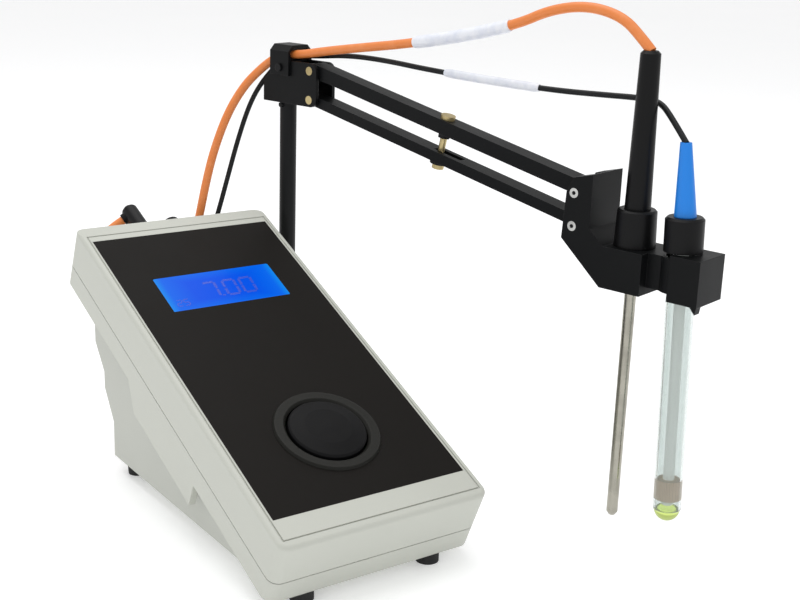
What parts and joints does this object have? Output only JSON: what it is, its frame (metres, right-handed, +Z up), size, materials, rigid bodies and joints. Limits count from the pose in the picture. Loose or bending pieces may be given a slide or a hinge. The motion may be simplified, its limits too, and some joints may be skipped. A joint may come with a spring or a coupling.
{
  "type": "ph meter",
  "caption": "Benchtop pH meter on a sloping desk stand, with a swing arm that holds an electrode and a temperature probe upright.",
  "frame": {"origin": "on the table under the middle of the case's width, at the middle of the left front pad of the weighted plate", "axes": "+X to the meter's right, +Y away from the user, +Z up"},
  "size_m": [0.1831, 0.2699, 0.2307],
  "materials": {
    "case_grey": "satin",
    "black_plastic": "satin",
    "overlay_film": "satin",
    "display_blue": "gloss",
    "board_green": "satin",
    "screw_steel": "satin",
    "button_black": "satin",
    "foot_rubber": "matte",
    "painted_plate": "satin",
    "mast_black": "satin",
    "brass": "satin",
    "probe_steel": "satin",
    "tube_glass": "gloss",
    "bulb_glass": "gloss",
    "stem_white": "satin",
    "band_tan": "matte",
    "relief_blue": "satin",
    "lead_orange": "satin",
    "lead_black": "satin",
    "label_white": "matte"
  },
  "bodies": {
    "stand": {"upper_shell": "case_grey", "lower_tray": "case_grey", "desk_stand": "case_grey", "case_screws": "screw_steel", "stand_screws": "screw_steel", "front_overlay": "overlay_film", "display_window": "display_blue", "display_module": "board_green", "main_board": "board_green", "board_posts": "case_grey", "display_riser": "board_green", "button_ring": "button_black", "button_spring": "screw_steel", "button_switch": "black_plastic", "front_feet": "foot_rubber", "rear_feet": "foot_rubber", "base_plate": "painted_plate", "base_pads": "foot_rubber", "base_screws": "screw_steel", "base_spacers": "black_plastic", "mast_collar": "mast_black", "collar_screw": "screw_steel", "mast": "mast_black", "mast_stop_pin": "screw_steel", "temp_socket": "black_plastic", "electrode_socket": "brass", "power_socket": "black_plastic", "temp_plug": "black_plastic", "electrode_plug": "black_plastic", "temp_lead_rear": "lead_orange", "ph_lead_rear": "lead_black"},
    "swivel": {"pivot_block": "black_plastic", "block_pins": "brass", "cable_clip": "black_plastic", "clip_screws": "screw_steel"},
    "upper_arm": {"upper_arm": "black_plastic", "tension_screw": "mast_black", "tension_washer": "mast_black", "tension_nut": "brass", "temp_lead_arm": "lead_orange", "ph_lead_arm": "lead_black", "temp_label": "label_white", "ph_label": "label_white"},
    "lower_arm": {"lower_arm": "black_plastic"},
    "head": {"electrode_head": "black_plastic", "head_pins": "screw_steel", "probe_bush": "black_plastic"},
    "button": {"button_cap": "button_black"},
    "temp_probe": {"probe_handle": "black_plastic", "probe_rod": "probe_steel"},
    "electrode": {"electrode_cap": "black_plastic", "strain_relief": "relief_blue", "electrode_tube": "tube_glass", "electrode_stem": "stem_white", "junction_band": "band_tan", "electrode_bulb": "bulb_glass"}
  },
  "joints": [
    {"name": "mast_swivel", "type": "hinge", "parent": "stand", "child": "swivel", "pos_m": [0.0645, 0.1133, 0.17], "axis": [0, 0, 1], "range_deg": [-12, 90], "deforming": ["temp_lead_rear", "ph_lead_rear"]},
    {"name": "arm_pitch", "type": "hinge", "parent": "swivel", "child": "upper_arm", "pos_m": [0.06956, 0.09302, 0.1869], "axis": [-0.9703, -0.2419, 0], "range_deg": [-2.5, 45], "deforming": ["temp_lead_arm", "ph_lead_arm", "temp_label", "ph_label"]},
    {"name": "lower_arm_follow", "type": "hinge", "parent": "swivel", "child": "lower_arm", "pos_m": [0.06956, 0.09302, 0.1727], "axis": [-0.9703, -0.2419, 0], "range_deg": [-2.5, 45]},
    {"name": "head_level", "type": "hinge", "parent": "upper_arm", "child": "head", "pos_m": [0.10858, -0.06349, 0.1532], "axis": [-0.9703, -0.2419, 0], "range_deg": [-45, 2.5], "deforming": ["temp_lead_arm", "ph_lead_arm", "temp_label", "ph_label"]},
    {"name": "button_press", "type": "slide", "parent": "stand", "child": "button", "axis": [0, 0.3891, -0.9212], "range_m": [0, 0.0015], "stiffness_N_per_m": 900, "deforming": ["button_spring"]},
    {"name": "temp_probe_lift", "type": "slide", "parent": "head", "child": "temp_probe", "axis": [0, 0, 1], "range_m": [0, 0.04], "deforming": ["temp_lead_arm", "temp_label"]},
    {"name": "electrode_lift", "type": "slide", "parent": "head", "child": "electrode", "axis": [-0.0084, 0.0339, 0.9994], "range_m": [0, 0.04], "deforming": ["ph_lead_arm", "ph_label"]}
  ],
  "couplings": [
    {"joint": "lower_arm_follow", "follows": "arm_pitch", "ratio": 1},
    {"joint": "head_level", "follows": "arm_pitch", "ratio": -1}
  ]
}
